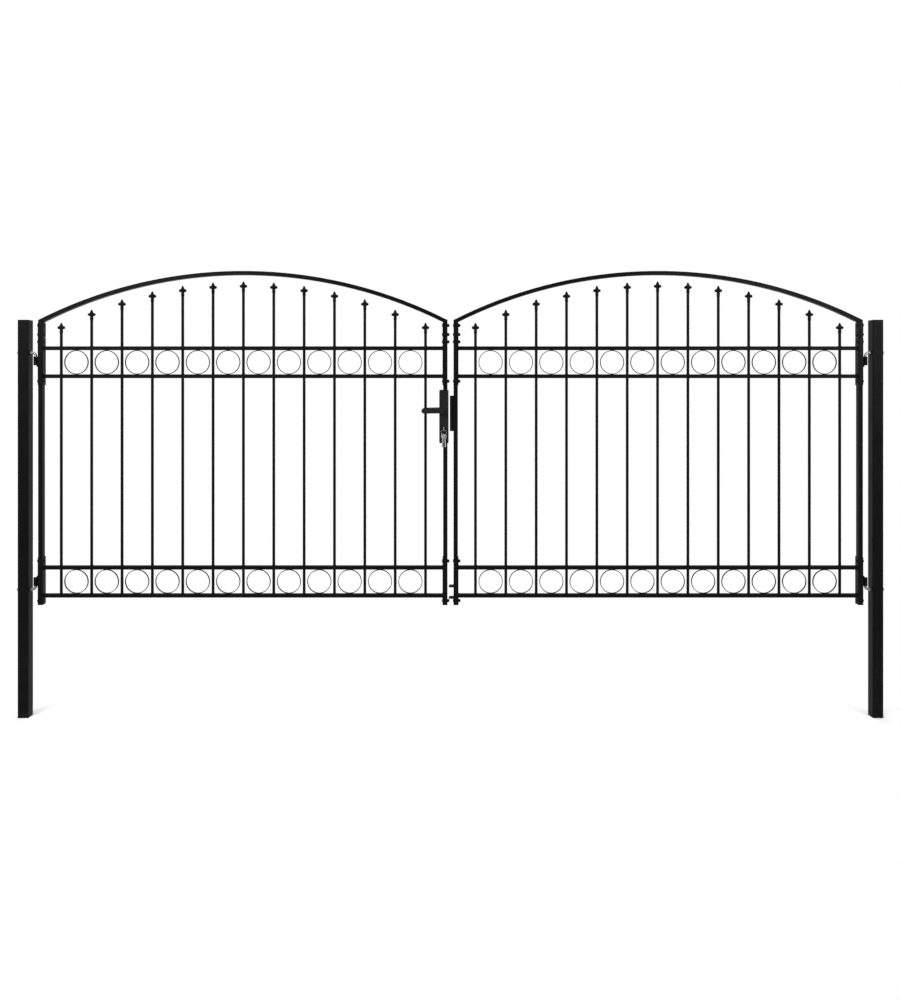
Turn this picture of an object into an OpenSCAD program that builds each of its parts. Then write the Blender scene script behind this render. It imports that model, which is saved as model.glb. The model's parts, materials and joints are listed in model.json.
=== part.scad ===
// Arched double gate: two bolted-together leaves of square tube, round pickets and flat rings,
// hung on hook bolts between two square posts. The origin is the centre of the left post's foot.
// Front is -Y, up is +Z, and the left post is the one on the left as seen from the front.

/* [Leaves] */
// Width of one leaf over its two stiles
leaf_w = 1896; // [1300:1:2600]
// Height of the leaf's lower edge above the foot of the post
leaf_foot_z = 520; // [300:1:620]
// Height of the shoulders, where the arch meets the stiles
shoulder_z = 1840; // [1780:1:2400]
// Rise of the arch from its shoulders to its crown
arch_rise = 227; // [150:1:330]
// Gap between the two closed leaves
centre_gap = 28; // [27:1:60]

/* [Posts] */
// Width of the square post
post_w = 50; // [46:1:80]
// Height of the post, with its cap
post_h = 1840; // [1760:1:2400]
// Wall of the post
post_wall = 2; // [1.5:0.5:4]
// Corner radius of the post
post_corner = 4; // [2.5:0.5:6]
// Thickness of the plate of a post's cap and of its foot plug
post_plug_plate = 3; // [2:0.5:6]
// Depth to which a plug reaches into the post
post_plug_depth = 18; // [10:1:40]
// Bevel along the upper edges of a post's cap
post_cap_bevel = 1.5; // [0.5:0.5:2]
// Room between a plug's block and the inside of its tube, all round
plug_fit = 0.1; // [0.05:0.05:0.2]

/* [Frame tubes] */
// Width of a stile, seen from the front
stile_w = 20; // [16:1:30]
// Depth of the stiles and of the arch, from front to back
stile_d = 30; // [24:1:30]
// Thickness of the arch, seen from the front
arch_t = 18; // [14:1:26]
// Size of the square rails
rail_s = 18; // [16:1:24]
// Wall of the stiles, the arch and the rails
frame_wall = 1.5; // [1:0.25:2]
// Corner radius of the stiles, the arch and the rails
frame_corner = 2.5; // [2.25:0.25:4]
// Thickness of the plate of a stile's foot plug
stile_plug_plate = 3; // [2:0.5:5]
// Depth to which a foot plug reaches into its stile
stile_plug_depth = 14; // [8:1:14]

/* [Rails and channels] */
// Distance between the two rails of a pair, centre to centre
rail_pitch = 130; // [100:1:160]
// Height of the lowest rail's centre above the leaf's lower edge
low_rail_rise = 41; // [20:1:80]
// Drop of the highest rail's centre below the shoulders
high_rail_drop = 131; // [125:1:200]
// Thickness of the sheet that the channels are folded from
channel_t = 3; // [2:0.25:3]
// Length of a rail channel above the upper rail's centre
channel_over = 50; // [20:1:52]
// Length of a rail channel below the lower rail's centre
channel_under = 41; // [15:1:41]
// Length of the channel that bolts an end of the arch to its stile
arch_leg_len = 66; // [40:1:66]
// Drop of that channel's upper end below the shoulders
arch_leg_drop = 13; // [12:1:15]

/* [Pickets, spear points and rings] */
// Diameter of the pickets
picket_d = 13; // [8:1:16]
// Wall of the tube that the pickets are cut from
picket_wall = 1.5; // [1:0.25:2]
// Distance between pickets, centre to centre
picket_pitch = 141; // [120:1:200]
// Least clear space between a stile and the nearest picket
end_bay_min = 60; // [40:1:76]
// Room between a picket and the hole that it passes through, all round
picket_fit = 0.1; // [0.05:0.05:0.3]
// Clear space between the arch and the spear point under its crown
spear_gap = 29; // [15:1:60]
// How much further below the arch the outermost spear points are
spear_end_drop = 12; // [0:1:30]
// Height of a spear point, with its socket
spear_h = 50; // [42:1:60]
// Depth of the socket that takes the end of the picket
spear_socket = 16; // [10:1:22]
// Wall of that socket
spear_wall = 1; // [0.8:0.1:2]
// Drop of the side arms below the tip
spear_arm_drop = 23; // [18:1:26]
// Reach of a spear point's side arm, from the middle to its end
spear_arm = 17; // [14:1:24]
// Radius of the side arm at its root
spear_arm_r = 8.8; // [7:0.2:10]
// Radius of the side arm near its end
spear_arm_end_r = 4.4; // [3:0.2:5]
// Thickness of the arms at their root, from front to back
spear_depth = 13; // [11:0.5:14]
// Radius of the swelling between the arms
spear_bulge_r = 7.4; // [7.2:0.2:8.4]
// Radius of the spike at its root, above the arms
spear_spike_r = 6.6; // [4:0.2:7]
// Radius of the blunt tip
spear_tip_r = 1.3; // [0.5:0.1:1.5]
// Thickness of the strip that a ring is rolled from
ring_t = 3; // [2:0.5:6]
// Depth of the ring from front to back
ring_d = 8; // [5:1:16]
// Room between a ring and the rails that it is welded to
ring_fit = 0.15; // [0.05:0.05:0.3]

/* [Hinges] */
// Gap between a post and its leaf
hinge_gap = 40; // [38:1:60]
// Distance of the hinge's axis from the face of the post
axis_off = 23.5; // [23.5:0.5:27]
// Drop of the upper hook bolt, whose pin points down, below the shoulders or a lower post's top
upper_hook_drop = 152; // [140:1:300]
// Rise of the lower hook bolt, whose pin points up, above the leaf's lower edge
lower_hook_rise = 70; // [40:1:180]
// Diameter of the hook bolts
hook_d = 12; // [10:0.5:14]
// Radius of the hook bolt's bend, at the middle of the rod
hook_bend_r = 15; // [13:0.5:16]
// Length of the hook bolt's straight pin
hook_pin_len = 41; // [40:1:70]
// Length of the hook bolt's end past its outer nut
hook_stub = 4; // [1:0.5:20]
// Width of the hook bolt's nut across its flats
nut_af = 18; // [17:0.5:22]
// Thickness of that nut
nut_t = 9; // [6:0.5:10]
// Height of the bevel that takes off the nut's corners
nut_bevel = 1; // [0.5:0.1:1.5]
// Room between a hook bolt and its nut or its hole in the post, all round
hook_fit = 0.05; // [0.02:0.01:0.1]
// Outer diameter of the sleeve that turns on the pin
sleeve_d = 20; // [18:0.5:22]
// Length of the sleeve
sleeve_len = 40; // [25:1:44]
// Room between the sleeve and the pin, all round
sleeve_fit = 0.05; // [0.02:0.01:0.1]
// Room between the sleeve and the bend of the hook bolt that it rests on
sleeve_seat = 0.3; // [0.1:0.1:0.5]
// Room between the upper sleeve and the bend of the hook bolt over it
sleeve_lift = 3; // [0.5:0.5:6]
// Thickness of the web between the sleeve and the stile
sleeve_web_t = 8; // [4:1:14]
// How far the web runs on along the stile, past the sleeve
sleeve_web_run = 16; // [4:1:30]

/* [Lock] */
// Height of the lever's spindle
lever_z = 1421; // [1150:1:1440]
// Width of the lock case and its plates
lock_w = 43; // [36:1:50]
// Height of the lock's plates
lock_h = 247; // [200:1:260]
// Drop of the lever's spindle below the top of the plates
lever_drop = 95; // [60:1:100]
// Distance of the cylinder below the spindle
cylinder_drop = 85; // [70:1:95]
// How far the lock case stands past the stile, towards the other leaf
lock_past = 5; // [2:0.5:6]
// Depth of the lock case, from front to back
lock_case_d = 38; // [34:1:46]
// Thickness of the lock's front and back plates
lock_plate_t = 4; // [2:0.5:6]
// Corner radius of the lock's plates
lock_plate_r = 6; // [2:0.5:12]
// How far the plates stand past the case at the top and at the bottom
lock_plate_lip = 3; // [1:0.5:6]
// Diameter of the round part of the cylinder
cylinder_d = 17; // [15:0.5:18]
// Width of the flat part of the cylinder
cylinder_leg_w = 10; // [8:0.5:11]
// Height of the whole cylinder
cylinder_h = 33; // [28:1:36]
// How far the cylinder stands out of the plates
cylinder_proud = 3; // [1:0.5:6]
// Room round the cylinder and the latch bolt in the lock case
lock_fit = 0.1; // [0.05:0.05:0.3]
// Height of the latch bolt
latch_h = 18; // [12:1:24]
// Thickness of the latch bolt, from front to back
latch_t = 12; // [8:1:16]
// Length of the latch bolt, drawn back flush with the lock case
latch_len = 14; // [8:1:14]
// Slant of the latch bolt's nose
latch_nose = 7; // [4:0.5:10]
// Drop of the latch bolt below the spindle
latch_drop = 34; // [26:1:45]

/* [Lever] */
// Reach of the lever from its spindle to its end
lever_len = 103; // [80:1:140]
// Height of the lever's arm at the spindle
lever_root_h = 25; // [20:1:28]
// Height of the lever's arm at its end
lever_tip_h = 24; // [14:1:24]
// Thickness of the lever's arm
lever_t = 11; // [8:1:16]
// Distance of the lever's arm from the plate
lever_off = 34; // [25:1:60]
// Radius of the lever's bend, at the middle of its thickness
lever_bend_r = 14; // [10:0.5:18]
// Drop of the lever's end below its spindle
lever_droop = 1.5; // [0:0.5:6]
// Diameter of the lever's neck, which turns in the plate
lever_neck_d = 18; // [15:0.5:20]
// Room between the neck and its hole in the plate, all round
lever_fit = 0.06; // [0.02:0.01:0.1]
// Size of the square spindle
spindle_s = 8; // [6:0.5:9]
// Diameter of the hole for the spindle in the lock case
spindle_hole_d = 15; // [14.5:0.5:16]

/* [Keys] */
// Diameter of a key's bow
bow_d = 24; // [20:1:26]
// Diameter of the hole in the bow
bow_hole_d = 7; // [6:0.5:7.5]
// Distance of that hole from the middle of the bow
bow_hole_off = 6.5; // [6:0.5:7]
// Thickness of a key
key_t = 2; // [1.6:0.2:2.4]
// Length of a key's blade
blade_len = 36; // [34:1:40]
// Height of a key's blade
blade_h = 8.4; // [6:0.2:9]
// Length of the bare shoulder between the cylinder and the bow
key_shoulder = 3; // [1:0.5:8]
// Radius of the key ring at the middle of its wire
key_ring_r = 12; // [9:0.5:14]
// Diameter of the key ring's wire
key_wire_d = 1.6; // [1.2:0.2:1.8]
// Room between the wire and the holes that it hangs in
key_fit = 0.15; // [0.05:0.05:0.2]
// Turn of the spare keys about the vertical
spare_turn = 45; // [20:1:45]
// Angle at which each spare key leans to its side
spare_lean = 5; // [2:1:12]
// Distance between the spare keys along the ring's wire
spare_gap = 7; // [6.5:0.5:8]
// How far the middle of a spare key's hole hangs below the wire
spare_hang = 1.1; // [0.8:0.1:1.2]
// Distance between the cuts in a key's blade
bit_pitch = 4.6; // [4:0.1:5]

/* [Keeper and drop bolt eyes] */
// How far the keeper stands out of its stile, towards the lock
keeper_w = 17; // [12:1:17]
// Depth of the keeper, from front to back
keeper_d = 38; // [32:1:46]
// Height of the keeper
keeper_h = 164; // [130:1:190]
// Drop of the keeper's middle below the spindle
keeper_drop = 14; // [0:1:25]
// Thickness of the keeper's sheet
keeper_t = 3; // [2:0.5:4]
// Reach of a drop bolt eye from its stile
eye_len = 22; // [18:1:22]
// Thickness of a drop bolt eye
eye_t = 9; // [6:1:14]
// Width of a drop bolt eye, from front to back
eye_w = 24; // [20:1:30]
// Diameter of the hole for the drop bolt
eye_hole_d = 13; // [10:0.5:14]
// Height of the upper eye above the leaf's lower edge
upper_eye_rise = 85; // [60:1:160]
// Height of the lower eye above the leaf's lower edge
lower_eye_rise = 32; // [10:1:45]

/* [Hidden] */
$fn = 64;
coat = "#1b191b";
plastic = "#232325";
zinc = "#b4b7ba";
lock_black = "#262426";
nickel = "#a9abad";
// Steps in a full turn of the arch's long radius
arch_steps = 720;
// How far a cutting shape runs past what it cuts
cut = 1;
// Depths of the cuts in a key's blade, from the bow
bit_cuts = [1.2, 2.1, 0.9, 1.8, 2.3, 1.4];
// How far the mitre's cutting shapes run past the corner of the frame
mitre_run = 60;

// Places along X
post_face_x = post_w / 2;
axis_x = post_face_x + axis_off;
leaf_x = post_face_x + hinge_gap;
leaf_end_x = leaf_x + leaf_w;
leaf_mid_x = leaf_x + leaf_w / 2;
gate_mid_x = leaf_end_x + centre_gap / 2;
half_leaf = leaf_w / 2;
rail_x = leaf_x + stile_w + channel_t;
rail_len = leaf_w - 2 * (stile_w + channel_t);

// Heights of the hook bolts
upper_hook_z = min(shoulder_z, post_h) - upper_hook_drop;
lower_hook_z = leaf_foot_z + lower_hook_rise;

// The arch: its outer edge runs through both shoulders
arch_r_out = (half_leaf * half_leaf + arch_rise * arch_rise) / (2 * arch_rise);
arch_r_in = arch_r_out - arch_t;
arch_mid_z = shoulder_z + arch_rise - arch_r_out;
function under_arch_z(off) = arch_mid_z + sqrt(arch_r_in * arch_r_in - off * off);
mitre_in_z = under_arch_z(half_leaf - stile_w);
mitre_slope = (shoulder_z - mitre_in_z) / stile_w;
arch_half_angle = asin((half_leaf + arch_t) / arch_r_out);

// Heights of the rails and channels
low_rail_z = leaf_foot_z + low_rail_rise;
high_rail_z = shoulder_z - high_rail_drop;
low_pair = [low_rail_z, low_rail_z + rail_pitch];
high_pair = [high_rail_z - rail_pitch, high_rail_z];
arch_leg_z = shoulder_z - arch_leg_drop - arch_leg_len;

// The pickets stand evenly about the middle of the leaf
picket_count = 1 + floor((leaf_w - 2 * stile_w - 2 * end_bay_min - picket_d) / picket_pitch);
picket_span = (picket_count - 1) * picket_pitch;
picket_offs = [for (i = [0 : picket_count - 1]) i * picket_pitch - picket_span / 2];
picket_foot_z = low_rail_z - rail_s / 2 + frame_wall;
// The spear points follow a lower arc of their own
tip_crown_z = under_arch_z(0) - spear_gap;
tip_sag = under_arch_z(0) - under_arch_z(picket_span / 2) + spear_end_drop;
tip_r = (picket_span * picket_span / 4 + tip_sag * tip_sag) / (2 * tip_sag);
function tip_z(off) = tip_crown_z - tip_r + sqrt(tip_r * tip_r - off * off);
ring_od = min(rail_pitch - rail_s, picket_pitch - picket_d) - 2 * ring_fit;

// The lock and its lever
lock_x = leaf_end_x + lock_past - lock_w;
lock_mid_x = lock_x + lock_w / 2;
lock_top_z = lever_z + lever_drop;
lock_foot_z = lock_top_z - lock_h;
case_foot_z = lock_foot_z + lock_plate_lip;
case_h = lock_h - 2 * lock_plate_lip;
case_face_y = lock_case_d / 2;
plate_face_y = case_face_y + lock_plate_t;
cylinder_z = lever_z - cylinder_drop;
cylinder_face_y = plate_face_y + cylinder_proud;
latch_z = lever_z - latch_drop;

// The key in the cylinder, and the ring that hangs from its bow
bow_y = -cylinder_face_y - key_shoulder - bow_d / 2;
key_ring_y = bow_y - bow_hole_off;
hang_drop = bow_hole_d / 2 - key_wire_d / 2 - key_fit;
key_ring_z = cylinder_z - hang_drop - key_ring_r;
spare_hole_z = key_ring_z - sqrt(key_ring_r * key_ring_r - spare_gap * spare_gap / 4) - spare_hang;

// The keeper on the other leaf, mirrored from this side
keeper_mid_z = lever_z - keeper_drop;

// Shared shapes

// The right half of the gate is the left half's mirror image
module on_right() {
  translate([2 * gate_mid_x, 0, 0]) mirror([1, 0, 0]) children();
}

module rounded_rect(w, d, r) {
  square([w - 2 * r, d], center = true);
  square([w, d - 2 * r], center = true);
  for (sx = [-1, 1], sy = [-1, 1])
    translate([sx * (w / 2 - r), sy * (d / 2 - r)]) circle(r);
}

module tube_profile(w, d, r, wall) {
  difference() {
    rounded_rect(w, d, r);
    rounded_rect(w - 2 * wall, d - 2 * wall, r - wall / 2);
  }
}

// A profile drawn in X and Z, given a thickness along Y about the middle plane
module standing(depth) {
  rotate([90, 0, 0]) linear_extrude(depth, center = true) children();
}

// Posts

module post() {
  difference() {
    translate([0, 0, post_plug_plate])
      linear_extrude(post_h - 2 * post_plug_plate)
        tube_profile(post_w, post_w, post_corner, post_wall);
    for (z = [lower_hook_z, upper_hook_z])
      translate([0, 0, z]) rotate([0, 90, 0])
        cylinder(d = hook_d + 2 * hook_fit, h = post_w + 2 * cut, center = true);
  }
}

// A plug's plate covers the tube's end, and its block fits the inside of the tube
module tube_plug(w, d, r, wall, plate, depth) {
  room = wall + plug_fit;
  linear_extrude(plate) rounded_rect(w, d, r);
  translate([0, 0, plate])
    linear_extrude(depth) rounded_rect(w - 2 * room, d - 2 * room, r - wall / 2);
}

module post_plug() {
  tube_plug(post_w, post_w, post_corner, post_wall, post_plug_plate, post_plug_depth);
}

module post_cap() {
  bevel = post_cap_bevel;
  translate([0, 0, post_h]) mirror([0, 0, 1]) difference() {
    post_plug();
    for (turn = [0 : 90 : 270])
      rotate([0, 0, turn]) translate([post_w / 2, 0, 0]) standing(post_w + 2 * cut)
        polygon([[-bevel - cut, -cut], [cut, -cut], [cut, bevel + cut]]);
  }
}

module post_plugs() {
  post_plug();
  post_cap();
}

// Hinges

// A rod through the post whose end is bent at a right angle; turn is 1 up and -1 down
module hook_bolt(z, turn) {
  tail_x = -post_face_x - nut_t - hook_stub;
  bend_x = axis_x - hook_bend_r;
  translate([0, 0, z]) mirror([0, 0, turn > 0 ? 0 : 1]) {
    translate([tail_x, 0, 0]) rotate([0, 90, 0]) cylinder(d = hook_d, h = bend_x - tail_x);
    translate([bend_x, 0, hook_bend_r]) rotate([90, 0, 0]) rotate([0, 0, -90])
      rotate_extrude(angle = 90) translate([hook_bend_r, 0]) circle(d = hook_d);
    translate([axis_x, 0, hook_bend_r]) cylinder(d = hook_d, h = hook_pin_len);
  }
}

module hook_bolts() {
  hook_bolt(lower_hook_z, 1);
  hook_bolt(upper_hook_z, -1);
}

// A hex nut with the corners of both faces turned off
module hook_nut() {
  flat_r = nut_af / 2;
  corner_r = flat_r / cos(30);
  difference() {
    intersection() {
      cylinder(r = corner_r, h = nut_t, $fn = 6);
      rotate_extrude() polygon([
        [0, 0], [flat_r, 0], [corner_r + cut / 2, nut_bevel], [corner_r + cut / 2, nut_t - nut_bevel],
        [flat_r, nut_t], [0, nut_t]
      ]);
    }
    translate([0, 0, -cut]) cylinder(d = hook_d + 2 * hook_fit, h = nut_t + 2 * cut);
  }
}

module hook_nuts() {
  for (z = [lower_hook_z, upper_hook_z], x = [-post_face_x - nut_t, post_face_x])
    translate([x, 0, z]) rotate([0, 90, 0]) hook_nut();
}

// A sleeve on the pin, with a web to the stile; its foot is the end that faces the hook's bend
module hinge_sleeve(run) {
  web_x = leaf_x - axis_x;
  difference() {
    union() {
      cylinder(d = sleeve_d, h = sleeve_len);
      standing(sleeve_web_t)
        polygon([[0, 0], [web_x, 0], [web_x, sleeve_len + run], [0, sleeve_len]]);
    }
    translate([0, 0, -cut])
      cylinder(d = hook_d + 2 * sleeve_fit, h = sleeve_len + run + 2 * cut);
  }
}

module hinge_sleeves() {
  translate([axis_x, 0, lower_hook_z + hook_bend_r + sleeve_seat]) hinge_sleeve(sleeve_web_run);
  translate([axis_x, 0, upper_hook_z - hook_bend_r - sleeve_lift]) mirror([0, 0, 1])
    hinge_sleeve(sleeve_web_run);
}

// Frame of a leaf

// The side of the mitre where the stile ends (over) or where the arch ends (under),
// drawn with the shoulder at the origin and the stile running down from it to the right
module mitre_side(over) {
  far_z = over ? mitre_run : -mitre_run;
  standing(stile_d + 2 * cut)
    polygon([
      [-mitre_run, mitre_run * mitre_slope], [mitre_run, -mitre_run * mitre_slope],
      [mitre_run, far_z], [-mitre_run, far_z + mitre_run * mitre_slope]
    ]);
}

module at_shoulders() {
  translate([leaf_x, 0, shoulder_z]) children();
  translate([leaf_end_x, 0, shoulder_z]) mirror([1, 0, 0]) children();
}

// A length of stile whose hinge-side face is at x
module stile_length(x, foot_z, top_z) {
  translate([x + stile_w / 2, 0, foot_z])
    linear_extrude(top_z - foot_z) tube_profile(stile_w, stile_d, frame_corner, frame_wall);
}

module hinge_stile() {
  difference() {
    stile_length(leaf_x, leaf_foot_z + stile_plug_plate, shoulder_z);
    at_shoulders() mitre_side(true);
  }
}

module lock_stile() {
  difference() {
    stile_length(leaf_end_x - stile_w, leaf_foot_z + stile_plug_plate, shoulder_z);
    at_shoulders() mitre_side(true);
  }
}

// The lock case is let into its stile, which is cut there
module split_lock_stile() {
  difference() {
    lock_stile();
    translate([lock_x - cut, -stile_d / 2 - cut, case_foot_z])
      cube([lock_w + 2 * cut, stile_d + 2 * cut, case_h]);
  }
}

module stile_plugs() {
  for (x = [leaf_x, leaf_end_x - stile_w])
    translate([x + stile_w / 2, 0, leaf_foot_z])
      tube_plug(stile_w, stile_d, frame_corner, frame_wall, stile_plug_plate, stile_plug_depth);
}

module arch() {
  difference() {
    translate([leaf_mid_x, 0, arch_mid_z]) rotate([90, 0, 0])
      rotate([0, 0, 90 - arch_half_angle])
        rotate_extrude(angle = 2 * arch_half_angle, $fn = arch_steps)
          translate([arch_r_out - arch_t / 2, 0])
            tube_profile(arch_t, stile_d, frame_corner, frame_wall, $fn = 32);
    at_shoulders() mitre_side(false);
  }
}

// A channel folded round a stile from the inside of the leaf; the stile's outer face is at x = 0
module channel(len) {
  channel_w = stile_w + channel_t;
  linear_extrude(len) difference() {
    rounded_rect(2 * channel_w, stile_d + 2 * channel_t, channel_t);
    translate([-channel_w, 0]) square([2 * channel_w, stile_d + 4 * channel_t], center = true);
    square([2 * stile_w, stile_d], center = true);
  }
}

module at_stiles(z) {
  translate([leaf_x, 0, z]) children();
  translate([leaf_end_x, 0, z]) mirror([1, 0, 0]) children();
}

module arch_legs() {
  at_stiles(arch_leg_z) channel(arch_leg_len);
}

module rail_channels() {
  for (pair = [low_pair, high_pair])
    at_stiles(pair[0] - channel_under) channel(channel_under + rail_pitch + channel_over);
}

// A rail is drilled right through for the pickets, or on its upper side only
module rail(z, through) {
  hole_foot = through ? -rail_s / 2 - cut : 0;
  translate([0, 0, z]) difference() {
    translate([rail_x, 0, 0]) rotate([0, 90, 0])
      linear_extrude(rail_len) tube_profile(rail_s, rail_s, frame_corner, frame_wall);
    for (off = picket_offs)
      translate([leaf_mid_x + off, 0, hole_foot])
        cylinder(d = picket_d + 2 * picket_fit, h = rail_s / 2 + cut - hole_foot);
  }
}

module upper_rails() {
  for (z = high_pair) rail(z, true);
}

module lower_rails() {
  for (z = low_pair) rail(z, z != low_rail_z);
}

// Infill of a leaf

module pickets() {
  for (off = picket_offs)
    translate([leaf_mid_x + off, 0, picket_foot_z])
      linear_extrude(tip_z(off) - spear_h + spear_socket - picket_foot_z) difference() {
        circle(d = picket_d);
        circle(d = picket_d - 2 * picket_wall);
      }
}

// A cast point: a socket, a waist, a swelling with two side arms that thin out sideways, and a spike
module spear_point() {
  bore_r = picket_d / 2 + picket_fit;
  socket_r = bore_r + spear_wall;
  arm_z = spear_h - spear_arm_drop;
  waist_z = spear_socket + spear_wall;
  spike_z = arm_z + spear_arm_r;
  nose = spear_arm_end_r / 2;
  thinning = spear_depth / 2 - spear_arm_end_r;
  side_r = (spear_arm * spear_arm + thinning * thinning) / (2 * thinning);
  difference() {
    rotate_extrude()
      polygon([
        [0, 0], [socket_r, 0], [socket_r, spear_socket], [bore_r, waist_z + spear_wall],
        [spear_bulge_r, arm_z], [spear_spike_r, spike_z],
        [(spear_spike_r + spear_tip_r) / 2, (spike_z + spear_h) / 2],
        [spear_tip_r, spear_h - spear_tip_r], [0, spear_h]
      ]);
    translate([0, 0, -cut]) cylinder(r = bore_r, h = spear_socket + cut);
  }
  translate([0, 0, arm_z]) intersection() {
    rotate([0, 90, 0]) rotate_extrude()
      polygon([
        [0, -spear_arm], [nose, -spear_arm], [spear_arm_end_r, -spear_arm + nose], [spear_arm_r, 0],
        [spear_arm_end_r, spear_arm - nose], [nose, spear_arm], [0, spear_arm]
      ]);
    linear_extrude(4 * spear_arm_r, center = true) intersection() {
      translate([0, side_r - spear_depth / 2]) circle(side_r);
      translate([0, spear_depth / 2 - side_r]) circle(side_r);
    }
  }
}

module spear_points() {
  for (off = picket_offs)
    translate([leaf_mid_x + off, 0, tip_z(off) - spear_h]) spear_point();
}

// A rolled ring between each two pickets, and between the two rails of a pair
module rings(pair) {
  for (i = [0 : picket_count - 2])
    translate([leaf_mid_x + picket_offs[i] + picket_pitch / 2, 0, (pair[0] + pair[1]) / 2])
      standing(ring_d) difference() {
        circle(d = ring_od);
        circle(d = ring_od - 2 * ring_t);
      }
}

// Lock

module cylinder_outline(room) {
  leg_r = cylinder_leg_w / 2;
  leg_len = cylinder_h - cylinder_d / 2 - leg_r;
  translate([lock_mid_x, cylinder_z]) {
    circle(d = cylinder_d + 2 * room);
    translate([-leg_r - room, -leg_len]) square([cylinder_leg_w + 2 * room, leg_len]);
    translate([0, -leg_len]) circle(leg_r + room);
  }
}

module at_spindle() {
  translate([lock_mid_x, 0, lever_z]) children();
}

module lock_case() {
  difference() {
    translate([lock_x, -case_face_y, case_foot_z]) cube([lock_w, lock_case_d, case_h]);
    at_spindle() rotate([90, 0, 0])
      cylinder(d = spindle_hole_d, h = lock_case_d + 2 * cut, center = true);
    standing(lock_case_d + 2 * cut) cylinder_outline(lock_fit);
    translate([lock_x + lock_w - latch_len, -latch_t / 2 - lock_fit, latch_z - latch_h / 2 - lock_fit])
      cube([latch_len + cut, latch_t + 2 * lock_fit, latch_h + 2 * lock_fit]);
  }
}

module lock_plate() {
  difference() {
    translate([0, -case_face_y - lock_plate_t / 2, 0]) standing(lock_plate_t)
      translate([lock_mid_x, lock_foot_z + lock_h / 2]) rounded_rect(lock_w, lock_h, lock_plate_r);
    translate([0, -case_face_y, 0]) {
      at_spindle() rotate([90, 0, 0])
        cylinder(d = lever_neck_d + 2 * lever_fit, h = 4 * lock_plate_t, center = true);
      standing(4 * lock_plate_t) cylinder_outline(lock_fit);
    }
  }
}

module lock_cylinder() {
  slot_depth = blade_len + key_fit;
  difference() {
    standing(2 * cylinder_face_y) cylinder_outline(0);
    translate([
      lock_mid_x - key_t / 2 - key_fit, -cylinder_face_y - cut,
      cylinder_z - blade_h / 2 - key_fit
    ])
      cube([key_t + 2 * key_fit, slot_depth + cut, blade_h + 2 * key_fit]);
  }
}

module latch_bolt() {
  translate([lock_x + lock_w - latch_len, 0, latch_z - latch_h / 2])
    linear_extrude(latch_h)
      polygon([
        [0, -latch_t / 2], [latch_len, -latch_t / 2], [latch_len - latch_nose, latch_t / 2],
        [0, latch_t / 2]
      ]);
}

// A flat key drawn with the middle of its bow at the origin and its blade along +X
module key_outline() {
  blade_end = bow_d / 2 + key_shoulder + blade_len;
  difference() {
    union() {
      circle(d = bow_d);
      polygon([
        [0, -blade_h / 2], [blade_end - blade_h / 2, -blade_h / 2], [blade_end, 0],
        [blade_end - blade_h / 2, blade_h / 2], [0, blade_h / 2]
      ]);
    }
    translate([-bow_hole_off, 0]) circle(d = bow_hole_d);
    for (i = [0 : len(bit_cuts) - 1])
      translate([bow_d / 2 + key_shoulder + (i + 1) * bit_pitch, -blade_h / 2])
        polygon([[-bit_cuts[i] - cut, -cut], [bit_cuts[i] + cut, -cut], [0, bit_cuts[i]]]);
  }
}

module cylinder_key() {
  translate([lock_mid_x, bow_y, cylinder_z]) rotate([0, 0, 90])
    standing(key_t) key_outline();
}

module key_ring() {
  translate([lock_mid_x, key_ring_y, key_ring_z]) rotate([90, 0, 0])
    rotate_extrude() translate([key_ring_r, 0]) circle(d = key_wire_d);
}

module spare_keys() {
  for (side = [-1, 1])
    translate([lock_mid_x + side * spare_gap / 2, key_ring_y, spare_hole_z])
      rotate([0, 0, spare_turn]) rotate([-side * spare_lean, 0, 0])
        rotate([0, 90, 0]) rotate([90, 0, 0])
          translate([bow_hole_off, 0, 0]) standing(key_t) key_outline();
}

// Lever

// The lever seen from the front: it tapers to a round end that points to the hinge side
module lever_front() {
  tip_r = lever_tip_h / 2;
  tip_x = -lever_len + tip_r;
  circle(d = lever_root_h);
  translate([tip_x, -lever_droop]) circle(tip_r);
  polygon([
    [0, -lever_root_h / 2], [0, lever_root_h / 2],
    [tip_x, tip_r - lever_droop], [tip_x, -tip_r - lever_droop]
  ]);
}

// The lever seen from above: its neck bends into the arm, whose end is rounded
module lever_plan() {
  arm_y = -plate_face_y - lever_off;
  half_t = lever_t / 2;
  translate([-lever_bend_r, arm_y + lever_bend_r]) intersection() {
    difference() {
      circle(lever_bend_r + half_t);
      circle(lever_bend_r - half_t);
    }
    translate([0, -2 * lever_bend_r]) square(2 * lever_bend_r);
  }
  translate([-lever_len + half_t, arm_y - half_t]) square([lever_len - half_t - lever_bend_r, lever_t]);
  translate([-lever_len + half_t, arm_y]) circle(half_t);
}

module lever() {
  intersection() {
    standing(4 * (plate_face_y + lever_off)) lever_front();
    linear_extrude(2 * lever_root_h, center = true) lever_plan();
  }
  rotate([90, 0, 0]) translate([0, 0, case_face_y])
    cylinder(d = lever_neck_d, h = lock_plate_t + lever_off - lever_bend_r);
}

module lever_spindle() {
  at_spindle() rotate([90, 0, 0])
    linear_extrude(2 * case_face_y, center = true) square(spindle_s, center = true);
}

// Right leaf's own fittings, drawn on the left half and mirrored with it

module keeper() {
  translate([leaf_end_x, -keeper_d / 2, keeper_mid_z - keeper_h / 2]) difference() {
    cube([keeper_w, keeper_d, keeper_h]);
    translate([keeper_t, keeper_t, keeper_t])
      cube([keeper_w, keeper_d - 2 * keeper_t, keeper_h - 2 * keeper_t]);
  }
}

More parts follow.
